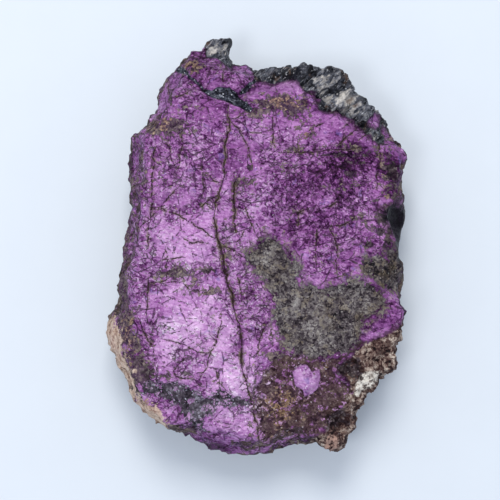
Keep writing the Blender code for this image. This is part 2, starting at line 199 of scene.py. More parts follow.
# Broken faces all round: shell-shaped flakes of three sizes, with their edges left sharp.
flake, flake_edge, _ = chipped(places, 1.9, 3, 0.30)
small_flake, _, _ = chipped(places + 5, 0.85, 4, 0.34)
grit, _, _ = chipped(places - 7, 0.5, 5, 0.3)
foot = ease(places[:, 2], 0.05, 0.9)
rough = (wall + under) * foot
relief += rough * (flake * 0.55 + small_flake * 0.6 + grit * 0.35
                   - 0.10 * ease(-flake_edge, -0.14, 0)
                   + 0.10 * ripple(places, 1.1, 6, 3))


def fresh(name):
    """An empty material, and the tree that its nodes go into."""
    material = bpy.data.materials.new(name)
    material.use_nodes = True
    material.node_tree.nodes.clear()
    return material, material.node_tree


finish_material, wiring = fresh("purpurite_rock")


class Wire:
    """A value, vector or colour of the finish, written in sums."""

    def __init__(self, socket):
        self.socket = socket

    @staticmethod
    def node(kind, settings=(), values=(), out=0):
        """Makes a node, sets it up, feeds its inputs, and gives back one output or several."""
        made = wiring.nodes.new("ShaderNode" + kind)
        for name, value in dict(settings).items():
            if name == "stops":
                band = made.color_ramp.elements
                for index, (place, colour) in enumerate(value):
                    stop = band[index] if index < 2 else band.new(place)
                    stop.position, stop.color = place, colour
            else:
                setattr(made, name, value)
        for key, value in dict(values).items():
            if isinstance(value, Wire):
                wiring.links.new(value.socket, made.inputs[key])
            else:
                made.inputs[key].default_value = value
        if isinstance(out, tuple):
            return [Wire(made.outputs[each]) for each in out]
        return Wire(made.outputs[out]) if made.outputs else None

    def maths(self, operation, other=0.0, swap=False):
        order = (other, self) if swap else (self, other)
        return Wire.node("Math", {"operation": operation}, dict(enumerate(order)))

    def __add__(self, other):
        return self.maths("ADD", other)

    def __sub__(self, other):
        return self.maths("SUBTRACT", other)

    def __rsub__(self, other):
        return self.maths("SUBTRACT", other, True)

    def __mul__(self, other):
        return self.maths("MULTIPLY", other)

    def __truediv__(self, other):
        return self.maths("DIVIDE", other)

    def __abs__(self):
        return self.maths("ABSOLUTE")

    def __or__(self, other):
        return self.maths("MAXIMUM", other)

    __radd__ = __add__
    __rmul__ = __mul__


def tone(red, green, blue):
    """A colour given as it looks in daylight, 0 to 255."""
    return tuple((v / 255 / 12.92 if v <= 10 else ((v / 255 + 0.055) / 1.055) ** 2.4)
                 for v in (red, green, blue)) + (1.0,)


def step(value, low, high):
    """0 at low, 1 at high, smooth between."""
    return Wire.node("MapRange", {"interpolation_type": "SMOOTHSTEP"},
                     {"Value": value, "From Min": low, "From Max": high})


def mix(share, under_tone, over_tone):
    """One colour at share 0, the other at 1."""
    return Wire.node("Mix", {"data_type": "RGBA"}, {0: share, 6: under_tone, 7: over_tone}, 2)


def between(share, low, high):
    """One value at share 0, the other at 1."""
    return low + (high - low) * share


def noise(at, length, detail=2.0, sway=0.0, rough_share=0.55):
    """Unevenness from 0 to 1, with bumps as long as length, in millimetres."""
    return Wire.node("TexNoise", {},
                     {"Vector": at, "Scale": 1 / length, "Detail": detail,
                      "Roughness": rough_share, "Distortion": sway})


def vectors(operation, *values, out="Vector"):
    """One step of vector maths."""
    return Wire.node("VectorMath", {"operation": operation}, dict(enumerate(values)), out)


HALVES = (0.5, 0.5, 0.5)


def shifted(at, length, amount, detail=2.0):
    """Places pushed about, so that what is drawn there wanders."""
    push = Wire.node("TexNoise", {}, {"Vector": at, "Scale": 1 / length, "Detail": detail},
                     "Color")
    return vectors("MULTIPLY_ADD", vectors("SUBTRACT", push, HALVES), (amount * 2,) * 3, at)


def grained(at, size):
    """Uneven, sharp-edged grains: a random number for each, and the height of a flat face
    that tilts its own way across it."""
    tag, middle = Wire.node("TexVoronoi", {}, {"Vector": at, "Scale": 1 / size},
                            ("Color", "Position"))
    face = vectors("DOT_PRODUCT", vectors("SUBTRACT", at, middle),
                   vectors("SUBTRACT", tag, HALVES), out="Value")
    return Wire.node("SeparateColor", {}, {0: tag}), face * 2


def ramp(value, *stops):
    """Colours along a value, each stop (place, red, green, blue)."""
    stops = [(place, tone(*colour)) for place, *colour in stops]
    return Wire.node("ValToRGB", {"stops": stops}, {0: value})


def in_mm():
    """Where on the object a point is, in millimetres."""
    return Wire.node("VectorMath", {"operation": "SCALE"},
                     {0: Wire.node("TexCoord", out="Object"), "Scale": 1 / MM})


class Coat:
    """The finish laid so far, each mineral over the ones before it."""

    def __init__(self, colour, roughness, metallic, height):
        self.colour, self.roughness = colour, roughness
        self.metallic, self.height = metallic, height

    def lay(self, share, colour, roughness, metallic, height):
        self.colour = mix(share, self.colour, colour)
        self.roughness = between(share, self.roughness, roughness)
        self.metallic = between(share, self.metallic, metallic)
        self.height = between(share, self.height, height)


# The broken rock that shows all round and under it: dark brown and grey, with dull purple
# and pale feldspar grains where the break runs through them.
here = in_mm()
coarse_at = shifted(here, 1.1, 0.35, 4.0)
fine_at = shifted(here, 0.4, 0.13, 3.0)
broken = noise(here, 2.6, 4.0, 0.6)
drift = noise(here, 1.4, 4.0, 0.4)
rubble = noise(here, 0.8, 4.0)
fine = noise(here, 0.35, 4.0)
large_pick, large_face = grained(coarse_at, 1.15)
small_pick, small_face = grained(fine_at, 0.44)
grain_pick, grain_face = grained(fine_at, 0.18)
glint_pick, _ = grained(here, 0.12)
rocky = broken * 0.45 + large_pick * 0.2 + small_pick * 0.2 + grain_pick * 0.25
rock = ramp(rocky, (0.28, 22, 16, 22), (0.45, 60, 46, 50), (0.60, 98, 80, 76),
            (0.72, 128, 112, 104), (0.85, 186, 174, 162))
rock = mix(step(drift + small_pick * 0.12, 0.58, 0.66) * 0.8, rock,
           ramp(grain_pick, (0.0, 50, 24, 58), (0.6, 96, 58, 106), (1.0, 140, 100, 150)))
coat = Coat(rock, between(small_pick, 0.50, 0.85), 0.0,
            fine * 0.10 + large_face * 0.35 + small_face * 0.45 + grain_face * 0.5
            + small_pick * 0.03)

# THE PURPLE FACE
# Purpurite split along its flat grain: silky, faintly metallic plates a millimetre or three
# across, stepped against each other, crossed by fine dark breaks and specks. Its colour also
# carries a painted sheen, painted shade and painted glints.


def blots(at, spots):
    """Soft spots added up, each (x, y, half width, half length, strength)."""
    total = np.zeros(len(at))
    for x, y, wide, long, strength in spots:
        total += strength * np.exp(-((at[:, 0] - x) / wide) ** 2 - ((at[:, 1] - y) / long) ** 2)
    return total


plate_push = np.stack([ripple(places, 1.6, s) for s in (11, 12, 13)], 1) * 0.35
plates, _, plate_tags = chipped((places + plate_push) / (1.0, 1.5, 1.0), 2.1, 14, 0.030)
minor, _, minor_tags = chipped((places + plate_push) / (0.8, 1.2, 1.0), 0.95, 15, 0.045)
steps_on_top = (plates + (plate_tags[:, 3] - 0.5) * 0.10 + minor
                + (minor_tags[:, 3] - 0.5) * 0.05 + 0.03 * ripple(places, 0.7, 16, 2))
marks["worn"] = blots(places, (
    (-7.5, 7.0, 3.5, 4.0, 0.8), (8.0, 4.0, 5.0, 5.0, 0.8), (2.0, 4.0, 4.0, 5.0, 0.5),
    (-4.5, -3.0, 5.0, 1.0, 0.8), (-12.0, -3.0, 2.0, 7.0, 0.8), (0.0, -6.0, 2.0, 4.0, 0.8),
    (-6.0, 17.0, 4.0, 2.5, 0.9), (9.0, 8.0, 3.0, 1.2, 0.5), (-6.5, 0.8, 2.2, 1.6, -1.2),
    (-7.0, -7.5, 3.0, 1.5, -0.8), (7.2, 10.6, 3.0, 1.2, -1.2)))
crumple = ease(marks["worn"], 0.2, 0.8)
relief += on_top * (steps_on_top + crumple * (minor * 1.2 + 0.05 * ripple(places, 0.45, 17, 2)))
marks["plate_tone"] = spread(plate_tags[:, 0] * 0.6 + minor_tags[:, 1] * 0.4, 1)
marks["face_up"] = outward[:, 2] + blots(places, (
    (12.4, 3.7, 1.0, 0.5, 0.5), (-5.0, -20.4, 1.8, 0.9, 1.0))) * above
# Painted light: spots that lighten and darken the purple's colour. They give a painted sheen over
# the near left and middle, a painted highlight on the ridge beside the scoop, and painted shade
# over the far right, below its ledge, along the right edge and at the near tip.
marks["tone_sheen_and_shade"] = blots(places, (
    (-7.0, -9.5, 5.0, 6.5, 0.55), (-7.5, -0.5, 5.0, 4.5, 0.45), (-1.5, -12.5, 3.0, 4.0, 0.45),
    (-2.5, -16.5, 2.5, 2.5, 0.35), (0.0, 2.0, 2.5, 4.0, 0.15),
    (4.6, -13.6, 1.5, 1.8, 0.55), (12.3, 3.7, 0.9, 0.5, 0.7), (-5.2, -20.3, 2.4, 1.2, -1.5),
    (-0.5, -3.5, 1.5, 3.0, 0.3), (-1.5, -17.5, 1.6, 2.5, 0.3),
    (-5.0, 17.0, 4.5, 2.5, -0.35), (9.0, 7.5, 4.5, 1.0, -0.6), (9.0, 4.0, 5.5, 7.0, -0.38),
    (2.5, -0.5, 2.5, 1.5, -0.1), (-12.5, 8.0, 1.5, 5.0, -0.4), (-8.0, 14.0, 4.0, 3.0, -0.05),
    (-7.0, 7.0, 3.5, 4.0, 0.24), (2.0, 9.5, 4.0, 2.5, 0.18),
    (11.5, -7.5, 2.0, 2.0, -0.55), (13.3, 6.0, 1.1, 3.5, -0.6)))

SILK_TURN = math.radians(-14)
ALONG_TURN = math.radians(8)
ACROSS_TURN = math.radians(-62)
CRUMB_TURN = math.radians(64)


def mark(name):
    """What the shaping left at this point of the skin under that name."""
    return Wire.node("Attribute", {"attribute_name": name}, out="Fac")


def stretched(at, by, turn=0.0):
    """Places drawn out along an axis, so that what is drawn there is longer that way."""
    return Wire.node("Mapping", {"vector_type": "TEXTURE"},
                     {"Vector": at, "Rotation": (0, 0, turn), "Scale": by})


def seams(at, size):
    """Distance to the edges of uneven grains, in millimetres."""
    return Wire.node("TexVoronoi", {"feature": "DISTANCE_TO_EDGE"},
                     {"Vector": at, "Scale": 1 / size}, "Distance") * size


silk_at = stretched(coarse_at, (3.4, 0.8, 1.0), SILK_TURN)
silk = noise(silk_at, 0.34, 4.0, 0.0, 0.70)
silk_pick, _ = grained(stretched(fine_at, (2.8, 0.9, 1.0), SILK_TURN), 0.16)
cloud = noise(here, 3.2, 3.0, 0.8)
mottle = noise(coarse_at, 0.42, 4.0, 0.0, 0.68)
worn = step(broken + mark("worn") * 0.22, 0.42, 0.62)
plate_shift = shifted(here, 1.6, 0.12, 4.0)


def plate_places(long, turn, offset):
    """Places in which uneven grains are long plates that lie one way."""
    return vectors("ADD", stretched(plate_shift, (0.8, long, 1.0), turn), (offset,) * 3)


def broken_seams(at, size, half_width, where, cover):
    """The plates' dark edges, drawn only here and there."""
    line = step(seams(at, size), half_width * 1.5, half_width * 0.5)
    return (line * step(where, 0.56 - cover * 0.2, 0.62 - cover * 0.2)
            * step(grain_pick + worn * 0.25, 0.10, 0.35))


along_at = plate_places(1.9, ALONG_TURN, 3.1)
across_at = plate_places(2.4, ACROSS_TURN, 8.7)
crumb_at = plate_places(1.2, CRUMB_TURN, 15.2)
along_pick, along_face = grained(along_at, 1.9)
across_pick, across_face = grained(across_at, 1.5)
# The purple's tone is its own random changes of tone plus the painted sheen and painted shade of
# the spots above.
tone_sheen_and_shade = (0.535 + mark("tone_sheen_and_shade") * 0.32 + (cloud - 0.5) * 0.34 + (mark("plate_tone") - 0.5) * 0.12
        + (along_pick - 0.5) * 0.12 + (across_pick - 0.5) * 0.12
        + (mottle - 0.5) * (0.12 + worn * 0.42) + (silk - 0.5) * 0.40
        + (silk_pick - 0.5) * (0.20 + worn * 0.04)
        + (small_pick - 0.5) * (0.05 + worn * 0.26) + (grain_pick - 0.5) * (0.08 + worn * 0.26))
purple = ramp(tone_sheen_and_shade, (0.08, 30, 4, 32), (0.27, 88, 34, 92), (0.46, 148, 88, 154),
              (0.66, 188, 136, 194), (0.86, 210, 168, 214), (1.0, 234, 214, 238))
bluish = step(drift, 0.60, 0.68) * step(small_pick, 0.40, 0.60)
purple = mix(bluish * 0.45, purple, tone(110, 96, 168))
clean = step(mark("flake"), 0.15, -0.05)
breaks = (broken_seams(along_at, 1.9, 0.055, drift, 0.25)
          | broken_seams(across_at, 1.5, 0.045, 1 - drift, 0.30)
          | broken_seams(crumb_at, 0.60, 0.040, rubble, 0.45) * worn) * clean
dark_specks = step(silk_pick * 0.7 + grain_pick * 0.3 + worn * 0.10 + (mottle - 0.5) * -0.5,
                   0.86, 0.90) * clean
# Painted glints: tiny white-lilac specks painted into the colour where sparkles of reflected
# light would be, more of them where the painted sheen is.
painted_glints = step(glint_pick + mark("tone_sheen_and_shade") * 0.030, 0.984, 1.0)
purple = mix(breaks * 0.75, purple, tone(50, 24, 42))
purple = mix(dark_specks * 0.75, purple, tone(48, 16, 44))
purple = mix(painted_glints * 0.7, purple, tone(232, 210, 238))
purple_height = (silk * 0.10 + mottle * (0.10 + worn * 0.08) + along_face * 0.12
                 + across_face * 0.14 + small_face * (0.09 + worn * 0.34)
                 + grain_face * (0.12 + worn * 0.30) + fine * 0.02
                 - breaks * 0.05 - dark_specks * 0.03)
purple_share = step(mark("face_up") + (mottle - 0.5) * 0.45 + (small_pick - 0.5) * 0.14,
                    0.34, 0.46)
coat.lay(purple_share, purple, between(mottle, 0.52, 0.28), 0.15 + silk * 0.25, purple_height)

# BROWN AND OLIVE FILMS
# Iron and manganese stain left along the breaks and in the low spots of the purple face,
# and spots where the face has crumbled away to black.
marks["stain"] = blots(places, (
    (-9.0, 11.0, 3.0, 1.1, 1.15), (-7.0, 13.0, 2.0, 1.0, 0.5), (-12.9, 2.0, 0.8, 4.0, 0.9),
    (-13.3, -4.5, 0.8, 4.0, 0.9), (2.6, 13.4, 3.6, 1.2, 1.2), (-0.5, 12.0, 1.4, 0.9, 0.6),
    (5.2, 10.3, 1.2, 0.9, 0.7), (3.8, 12.0, 0.9, 1.2, 0.5), (-6.3, 17.6, 1.3, 1.0, 1.2),
    (-1.4, 5.3, 1.2, 0.9, 1.0), (-8.0, -3.3, 1.9, 0.8, 1.1), (-5.0, -5.1, 2.6, 0.6, 0.9),
    (-4.4, -3.1, 1.2, 0.4, 0.8), (1.0, -5.0, 1.6, 1.4, 0.5), (4.0, 8.7, 5.0, 0.5, 0.7),
    (9.6, 9.0, 2.0, 0.5, 0.6), (-3.2, -1.2, 0.9, 1.8, 0.6), (2.2, 6.8, 3.4, 1.0, 0.4),
    (-11.3, 5.5, 1.2, 2.5, 0.6), (-8.5, 5.8, 2.5, 1.2, 0.4), (8.6, 5.4, 1.6, 1.2, 0.5),
    (-0.4, -8.0, 1.2, 3.0, 0.3), (-12.9, -9.0, 1.2, 3.0, 1.1), (9.5, 2.0, 1.4, 0.8, 0.6),
    (10.6, 0.2, 1.0, 1.6, 0.7), (12.9, 6.0, 1.0, 3.5, 0.9), (12.2, 10.2, 1.4, 1.0, 0.5),
    (-0.6, -15.4, 0.8, 4.0, 0.7), (-11.6, -11.5, 0.8, 2.2, 0.9), (-11.3, -12.8, 1.2, 1.2, 1.0),
    (5.0, -11.6, 3.5, 0.5, 1.0), (1.6, -11.2, 1.2, 0.8, 0.8), (-6.0, 15.0, 1.6, 0.8, 0.4),
    (-3.2, 17.0, 1.0, 1.2, 0.4), (3.5, 2.5, 0.9, 0.7, 0.5), (7.4, -2.5, 0.8, 1.4, 0.4),
    (-9.7, -13.4, 2.4, 0.9, 0.6)))
marks["black"] = blots(places, (
    (9.1, 6.4, 0.9, 0.6, 1.0), (10.9, -0.6, 0.8, 0.5, 1.0), (-0.8, 6.9, 0.4, 0.4, 1.0),
    (-4.4, -3.2, 1.0, 0.35, 0.7), (-5.6, 3.3, 0.3, 0.3, 1.0), (-2.1, 5.3, 0.4, 0.5, 1.0),
    (-12.6, 7.7, 0.45, 2.0, 1.0), (13.4, 6.2, 0.7, 2.6, 0.9), (7.8, 8.2, 2.6, 0.28, 0.8),
    (9.8, 7.5, 1.8, 0.25, 0.65), (11.3, 8.4, 1.4, 0.5, 0.6), (4.0, 7.5, 0.5, 1.1, 0.5),
    (6.2, 4.4, 0.6, 1.0, 0.4),
    (-8.8, -3.2, 0.9, 0.4, 0.7), (-5.6, -3.4, 0.5, 0.5, 0.5), (11.6, 3.4, 0.9, 1.2, 0.6),
    (-10.2, -13.9, 1.0, 0.6, 0.7), (-6.9, -13.0, 0.9, 0.4, 0.8), (-8.1, -12.1, 0.4, 0.9, 0.7),
    (-5.6, -13.9, 0.5, 0.5, 0.8), (-3.9, -13.2, 0.35, 1.0, 0.7), (-2.4, -13.6, 0.35, 1.2, 0.5),
    (-10.2, -9.8, 0.5, 2.4, 0.6), (-9.0, -13.2, 0.8, 0.4, 0.6), (-10.7, -12.9, 0.8, 0.7, 0.8),
    (4.6, -11.6, 2.0, 0.25, 0.7), (2.4, 9.0, 0.3, 1.0, 0.4), (-12.0, -0.3, 0.5, 0.5, 0.5)))
marks["ochre"] = blots(places, (
    (2.8, 13.4, 2.6, 0.8, 0.8), (-6.3, 17.4, 1.2, 1.0, 0.9), (-9.5, 11.4, 2.0, 0.8, 0.6),
    (4.8, 10.2, 0.5, 0.5, 0.7), (2.3, -16.2, 1.5, 1.8, 1.2), (-12.8, -10.0, 1.0, 3.5, 0.7),
    (12.8, 4.6, 0.8, 1.5, 0.4), (-2.8, -20.0, 0.6, 0.5, 1.2)))
relief -= (ease(marks["black"] + 0.25 * ripple(places, 0.8, 18, 3), 0.45, 0.75) * on_top
           * (0.14 + 0.08 * ripple(places, 0.5, 19)))
stain_noise = noise(coarse_at, 0.9, 4.0, 0.3, 0.64)
stain_run = step(abs(drift - 0.5), 0.06, 0.0)
flecks = small_pick * 0.55 + grain_pick * 0.45
fine_flecks = fine * 0.5 + flecks * 0.5
stain_share = step(mark("stain") * 0.30 + stain_noise * 0.60 + (flecks - 0.5) * 0.26
                   + stain_run * 0.10, 0.505, 0.56) * purple_share
film_pick = rubble * 0.55 + grain_pick * 0.30 + small_pick * 0.20
film = ramp(film_pick, (0.34, 18, 8, 18), (0.45, 50, 38, 44),
            (0.56, 80, 70, 70), (0.68, 106, 96, 88), (0.84, 150, 136, 116))
film = mix(step(mark("ochre") * 0.45 + fine * 0.5 + (flecks - 0.5) * 0.6,
                0.50, 0.62) * 0.65, film, ramp(glint_pick, (0.0, 84, 58, 44),
                                               (0.6, 136, 104, 74), (1.0, 200, 170, 132)))
coat.lay(stain_share * 0.90, film, 0.75, 0.0, fine * 0.10 + flecks * 0.07 - 0.06)
black_share = step(mark("black") * 0.45 + stain_noise * 0.5 + (flecks - 0.5) * 0.30,
                   0.50, 0.58) * purple_share
coat.lay(black_share * 0.92, ramp(film_pick, (0.35, 14, 6, 14), (0.60, 52, 36, 46),
                                  (0.75, 96, 88, 88)),
         0.60, 0.0, fine * 0.12 + flecks * 0.06 - 0.12)

# THE CRACKS
# Old breaks that run through the whole slab, some open and black, some healed with olive
# and brown mineral. Each is drawn as the line it takes across the purple face.
WIDE_CRACKS = (
    (0.07, ((-2.8, 13.3), (-2.9, 11.9), (-2.8, 10.7), (-3.1, 9.4), (-3.2, 8.2), (-3.3, 7.0),
            (-3.4, 5.9), (-3.6, 5.1), (-3.8, 4.4), (-4.1, 3.4), (-4.3, 2.3))),
    (0.13, ((-4.3, 2.3), (-4.1, 1.3), (-3.9, 0.3), (-3.7, -0.6), (-3.4, -1.7), (-3.3, -2.9),
            (-3.0, -4.1), (-2.7, -5.1), (-2.5, -6.1), (-2.3, -7.3))),
    (0.085, ((-2.3, -7.3), (-1.9, -8.3), (-1.8, -9.3), (-1.7, -10.4), (-1.6, -11.5),
            (-1.6, -12.6), (-1.4, -13.5), (-1.1, -14.4), (-0.9, -15.3), (-0.6, -16.4),
            (-0.4, -17.3), (-0.2, -18.2), (0.0, -19.4), (0.1, -20.4))),
    (0.10, ((-2.2, 5.7), (-2.3, 5.1), (-2.4, 4.2), (-2.3, 3.2), (-2.3, 2.3), (-2.3, 1.4),
            (-2.2, 0.5))),
)
FINE_CRACKS = (
    (0.07, ((-2.7, 11.4), (-1.9, 10.8), (-1.4, 9.9), (-1.0, 8.9), (-0.8, 8.1), (-0.6, 7.1))),
    (0.06, ((-2.6, 11.7), (-2.0, 11.9), (-1.5, 12.3))),
    (0.09, ((-10.0, 9.0), (-10.2, 8.1), (-10.1, 7.2), (-10.3, 6.4), (-10.3, 5.7),
            (-10.2, 4.8), (-10.3, 3.7), (-10.3, 3.0), (-10.5, 2.3), (-10.7, 1.5),
            (-10.5, 0.6), (-10.6, -0.1), (-10.7, -0.8))),
    (0.07, ((-13.2, 0.0), (-12.2, 0.9), (-11.4, 1.3), (-10.8, 1.8), (-10.3, 2.3),
            (-9.5, 3.0), (-9.1, 3.6), (-8.5, 4.2), (-7.8, 4.9), (-7.3, 5.2))),
    (0.07, ((-10.3, 3.2), (-9.3, 2.9), (-8.5, 2.5), (-7.8, 2.3), (-7.1, 1.9), (-6.6, 1.6),
            (-6.0, 1.2), (-5.3, 0.8), (-4.7, 0.3), (-4.1, 0.0))),
    (0.05, ((-7.3, 0.1), (-6.4, -0.5), (-5.8, -0.3), (-4.8, -0.5))),
    (0.05, ((-9.5, -2.1), (-8.8, -2.0), (-8.1, -1.9), (-7.1, -1.8))),
    (0.05, ((-8.9, -1.1), (-8.8, -2.1), (-8.8, -3.1), (-8.9, -4.1))),
    (0.06, ((-8.8, -4.3), (-8.1, -4.2), (-7.3, -4.4), (-6.9, -4.8), (-6.4, -5.0),
            (-5.7, -5.1), (-4.9, -5.3))),
    (0.06, ((-10.7, -3.7), (-10.6, -5.0), (-10.8, -6.2), (-10.7, -7.2), (-10.6, -8.3))),
    (0.05, ((-10.5, -4.2), (-9.7, -4.2), (-8.9, -4.1))),
    (0.08, ((-5.7, 3.0), (-5.1, 3.5), (-4.4, 4.0), (-3.9, 4.3))),
    (0.05, ((-5.1, 3.5), (-4.6, 2.9), (-4.3, 2.7))),
    (0.05, ((-5.4, 7.2), (-5.3, 6.1), (-5.2, 5.0), (-5.4, 4.1))),
    (0.05, ((-5.7, 6.8), (-4.8, 6.2), (-4.3, 5.7), (-3.7, 5.5))),
    (0.05, ((-1.4, 3.4), (-1.0, 2.5), (-0.7, 1.5), (-0.3, 0.6), (0.1, -0.2))),
    (0.06, ((-1.4, 0.7), (-1.7, 0.0), (-2.1, -0.4))),
    (0.07, ((-3.5, -0.7), (-2.5, -1.0), (-1.9, -1.5), (-1.4, -1.9))),
    (0.06, ((-2.0, -3.4), (-1.8, -4.5), (-1.6, -5.6), (-1.6, -6.2))),
    (0.06, ((-8.9, 16.5), (-8.8, 15.4), (-8.5, 14.1))),
    (0.06, ((-8.6, 14.0), (-7.6, 14.1), (-6.6, 14.6))),
    (0.05, ((-8.8, 10.3), (-8.8, 9.4), (-8.5, 8.7), (-8.3, 7.6), (-8.1, 6.8))),
    (0.05, ((-7.4, 10.3), (-7.3, 9.4), (-7.5, 8.4), (-7.6, 7.7), (-7.8, 6.6))),
    (0.06, ((-3.3, 16.4), (-3.4, 15.7), (-3.1, 15.3))),
    (0.11, ((-10.8, 10.7), (-9.8, 11.5))),
    (0.06, ((2.0, 8.4), (3.2, 8.4), (4.3, 8.4), (5.3, 8.5), (6.1, 8.6), (6.5, 8.7),
            (8.5, 8.7), (9.4, 8.9), (10.6, 9.0))),
    (0.06, ((8.3, 10.8), (9.2, 11.7))),
    (0.06, ((7.8, 9.2), (8.6, 9.9), (9.4, 10.5), (9.9, 11.1))),
    (0.05, ((9.8, 9.6), (10.5, 10.2), (10.8, 10.5))),
    (0.09, ((5.0, 10.6), (5.6, 11.0), (6.4, 11.4))),
    (0.04, ((-0.8, 10.4), (0.3, 10.4), (1.4, 10.7))),
    (0.06, ((1.5, 12.1), (1.5, 10.7), (1.5, 9.4), (1.9, 8.7))),
    (0.06, ((3.9, 9.4), (4.0, 8.2))),
    (0.10, ((11.6, 9.8), (12.0, 9.2), (12.1, 8.4), (11.9, 7.3), (11.7, 6.3), (11.8, 5.8),
            (11.7, 5.0))),
    (0.07, ((6.9, 1.2), (7.2, 0.5), (7.5, -0.2), (7.7, -0.8), (7.5, -2.1), (7.5, -3.2))),
    (0.07, ((5.6, 0.8), (5.6, -0.4), (5.5, -1.6), (5.5, -2.6))),
    (0.07, ((3.7, 2.5), (4.3, 2.7), (4.8, 2.9))),
    (0.06, ((6.5, 2.9), (7.1, 3.2), (7.6, 3.5))),
    (0.06, ((3.9, 2.5), (4.0, 1.8), (3.9, 1.2))),
    (0.08, ((7.0, 1.2), (7.9, 1.2), (8.4, 1.3), (8.8, 1.6))),
    (0.05, ((-9.4, -9.7), (-8.6, -9.8), (-7.8, -10.0), (-7.1, -10.3), (-6.5, -10.6),
            (-5.8, -11.0), (-5.1, -11.1), (-4.7, -11.0))),
    (0.06, ((-7.1, -10.9), (-7.3, -11.6), (-7.8, -12.2), (-8.2, -12.7), (-8.0, -13.2),
            (-7.5, -13.4), (-6.8, -13.5), (-6.3, -13.4))),
    (0.06, ((-3.6, -7.4), (-3.7, -8.4), (-4.0, -9.3), (-4.0, -10.1), (-4.6, -10.9),
            (-4.8, -11.5), (-5.1, -12.6), (-5.6, -13.3), (-5.8, -13.9))),
    (0.05, ((-4.1, -12.8), (-3.7, -14.0), (-3.3, -14.6))),
    (0.06, ((-11.6, -7.6), (-11.1, -8.9), (-10.2, -10.4), (-10.0, -11.5), (-9.9, -12.5))),
    (0.08, ((-6.9, -16.2), (-6.2, -15.9), (-5.3, -15.8))),
    (0.06, ((0.7, -8.1), (0.0, -10.0), (-0.2, -11.4))),
    (0.06, ((1.2, -8.5), (1.1, -9.7))),
)


def beside(at, routes):
    """Distance to the nearest line, on which side of it, and that line's half width."""
    gap = np.full(len(at), 9.0)
    side = np.full(len(at), 9.0)
    width = np.full(len(at), 0.1)
    for half_width, route in routes:
        route = np.array(route, float)
        lengths = np.hypot(*np.diff(route, axis=0).T)
        walked = np.concatenate(((0,), np.cumsum(lengths)))
        for index, (start, end) in enumerate(zip(route[:-1], route[1:])):
            run = end - start
            along = np.clip(((at[:, :2] - start) @ run) / (run @ run), 0, 1)
            offset = at[:, :2] - start - along[:, None] * run
            away = np.hypot(*offset.T)
            nearer = away < gap
            gap[nearer] = away[nearer]
            turn = np.sign(run[0] * offset[:, 1] - run[1] * offset[:, 0])
            side[nearer] = (away * turn)[nearer]
            share = (walked[index] + along * lengths[index]) / walked[-1]
            taper = np.sqrt(np.clip(np.minimum(share, 1 - share) * 8, 0.12, 1))
            width[nearer] = (half_width * taper)[nearer]
    return gap, side, width


wander = np.stack([ripple(places, 0.9, s, 3) for s in (21, 22, 23)], 1) * (0.10, 0.06, 0)
# For each kind: its lines, how deep and how thickly healed they are, and where they fade.
for name, routes, depth, healed, faint, clear in (
        ("wide", WIDE_CRACKS, 1.1, 0.85, 0.45, 0.65),
        ("fine", FINE_CRACKS, 0.6, 0.60, 0.65, 0.90)):
    gap, side, width = beside(places + wander, routes)
    gap[~above | (on_top < 0.2)] = 9
    marks[name + "_gap"] = np.clip(gap, 0, 2)
    marks[name + "_side"] = np.clip(side, -2, 2)
    marks[name + "_width"] = width
    relief -= on_top * np.exp(-(gap / (width * 1.1 + 0.05)) ** 2) * width * depth

    off = abs(mark(name + "_side") + (fine - 0.5) * 0.24 + (grain_pick - 0.5) * 0.06)
    reach = mark(name + "_width") * (0.50 + grain_pick * 0.9)
    close = step(mark(name + "_gap"), 0.36, 0.22)
    margin = step(off / reach, 3.6, 1.0) * close * step(drift + (flecks - 0.5) * 0.7, 0.38, 0.52)
    olive = ramp(flecks, (0.2, 52, 36, 42), (0.5, 96, 82, 70), (0.8, 134, 120, 96))
    coat.lay(margin * healed, olive, 0.7, 0.0, coat.height - margin * 0.03)
    line = (step(off / reach, 1.15, 0.45) * close * purple_share
            * step(grain_pick + drift * 1.2, faint, clear))
    coat.lay(line * 0.92, mix(fine, tone(20, 8, 16), tone(62, 40, 42)), 0.75, 0.0,
             coat.height - 0.06)

# THE GRAINY PATCH
# Grey-green altered rock let into the purple face: sugary grains under half a
# millimetre across, dull, with pale and ochre ones among them.
PATCH_OUTLINE = (
    (-1.4, -1.5), (-1.0, -1.0), (-0.2, -0.8), (0.4, -0.2), (0.9, 0.1), (1.7, -0.2),
    (2.4, -0.7), (3.0, -1.4), (3.6, -2.1), (4.1, -2.8), (3.9, -3.4), (3.8, -4.0),
    (4.1, -4.6), (4.8, -4.5), (5.4, -4.5), (5.9, -5.1), (6.2, -5.2), (7.0, -4.6),
    (7.7, -4.6), (8.4, -4.4), (9.2, -4.0), (10.0, -3.9), (10.8, -4.3), (11.6, -5.0),
    (12.2, -5.6), (12.3, -6.3), (11.8, -7.1), (11.0, -7.5), (10.4, -7.9), (9.8, -8.8),
    (9.7, -9.7), (9.2, -10.5), (8.3, -11.0), (7.3, -11.3), (6.4, -11.5), (5.1, -11.5),
    (4.2, -11.4), (3.5, -11.1), (2.9, -10.7), (2.3, -9.9), (1.8, -8.9), (1.4, -7.9),
    (1.4, -7.2), (1.7, -6.6), (1.9, -6.1), (1.5, -5.3), (0.9, -4.6), (0.3, -4.0),
    (-0.5, -3.1), (-1.1, -2.3))
EAST_FACET = (
    (9.9, -2.1), (10.5, -1.9), (12.4, -1.7), (12.7, -0.6), (13.6, -1.3), (14.2, -3.1),
    (14.1, -4.4), (13.5, -5.0), (12.6, -5.0), (11.8, -4.5), (11.2, -4.2), (10.3, -3.7))
SCOOP = (
    (11.9, 2.5), (12.4, 3.2), (13.1, 3.5), (14.6, 3.8), (18.0, 3.8), (18.0, -3.0),
    (14.4, -2.4), (13.7, -1.6), (13.0, -0.9), (12.9, 0.7), (12.5, 1.5), (12.2, 1.9))
SCOOP_SLOPE = (
    (11.1, 1.6), (11.7, 2.5), (12.6, 2.4), (13.0, 0.8), (13.0, -0.8), (12.2, -0.9), (11.7, 0.1))


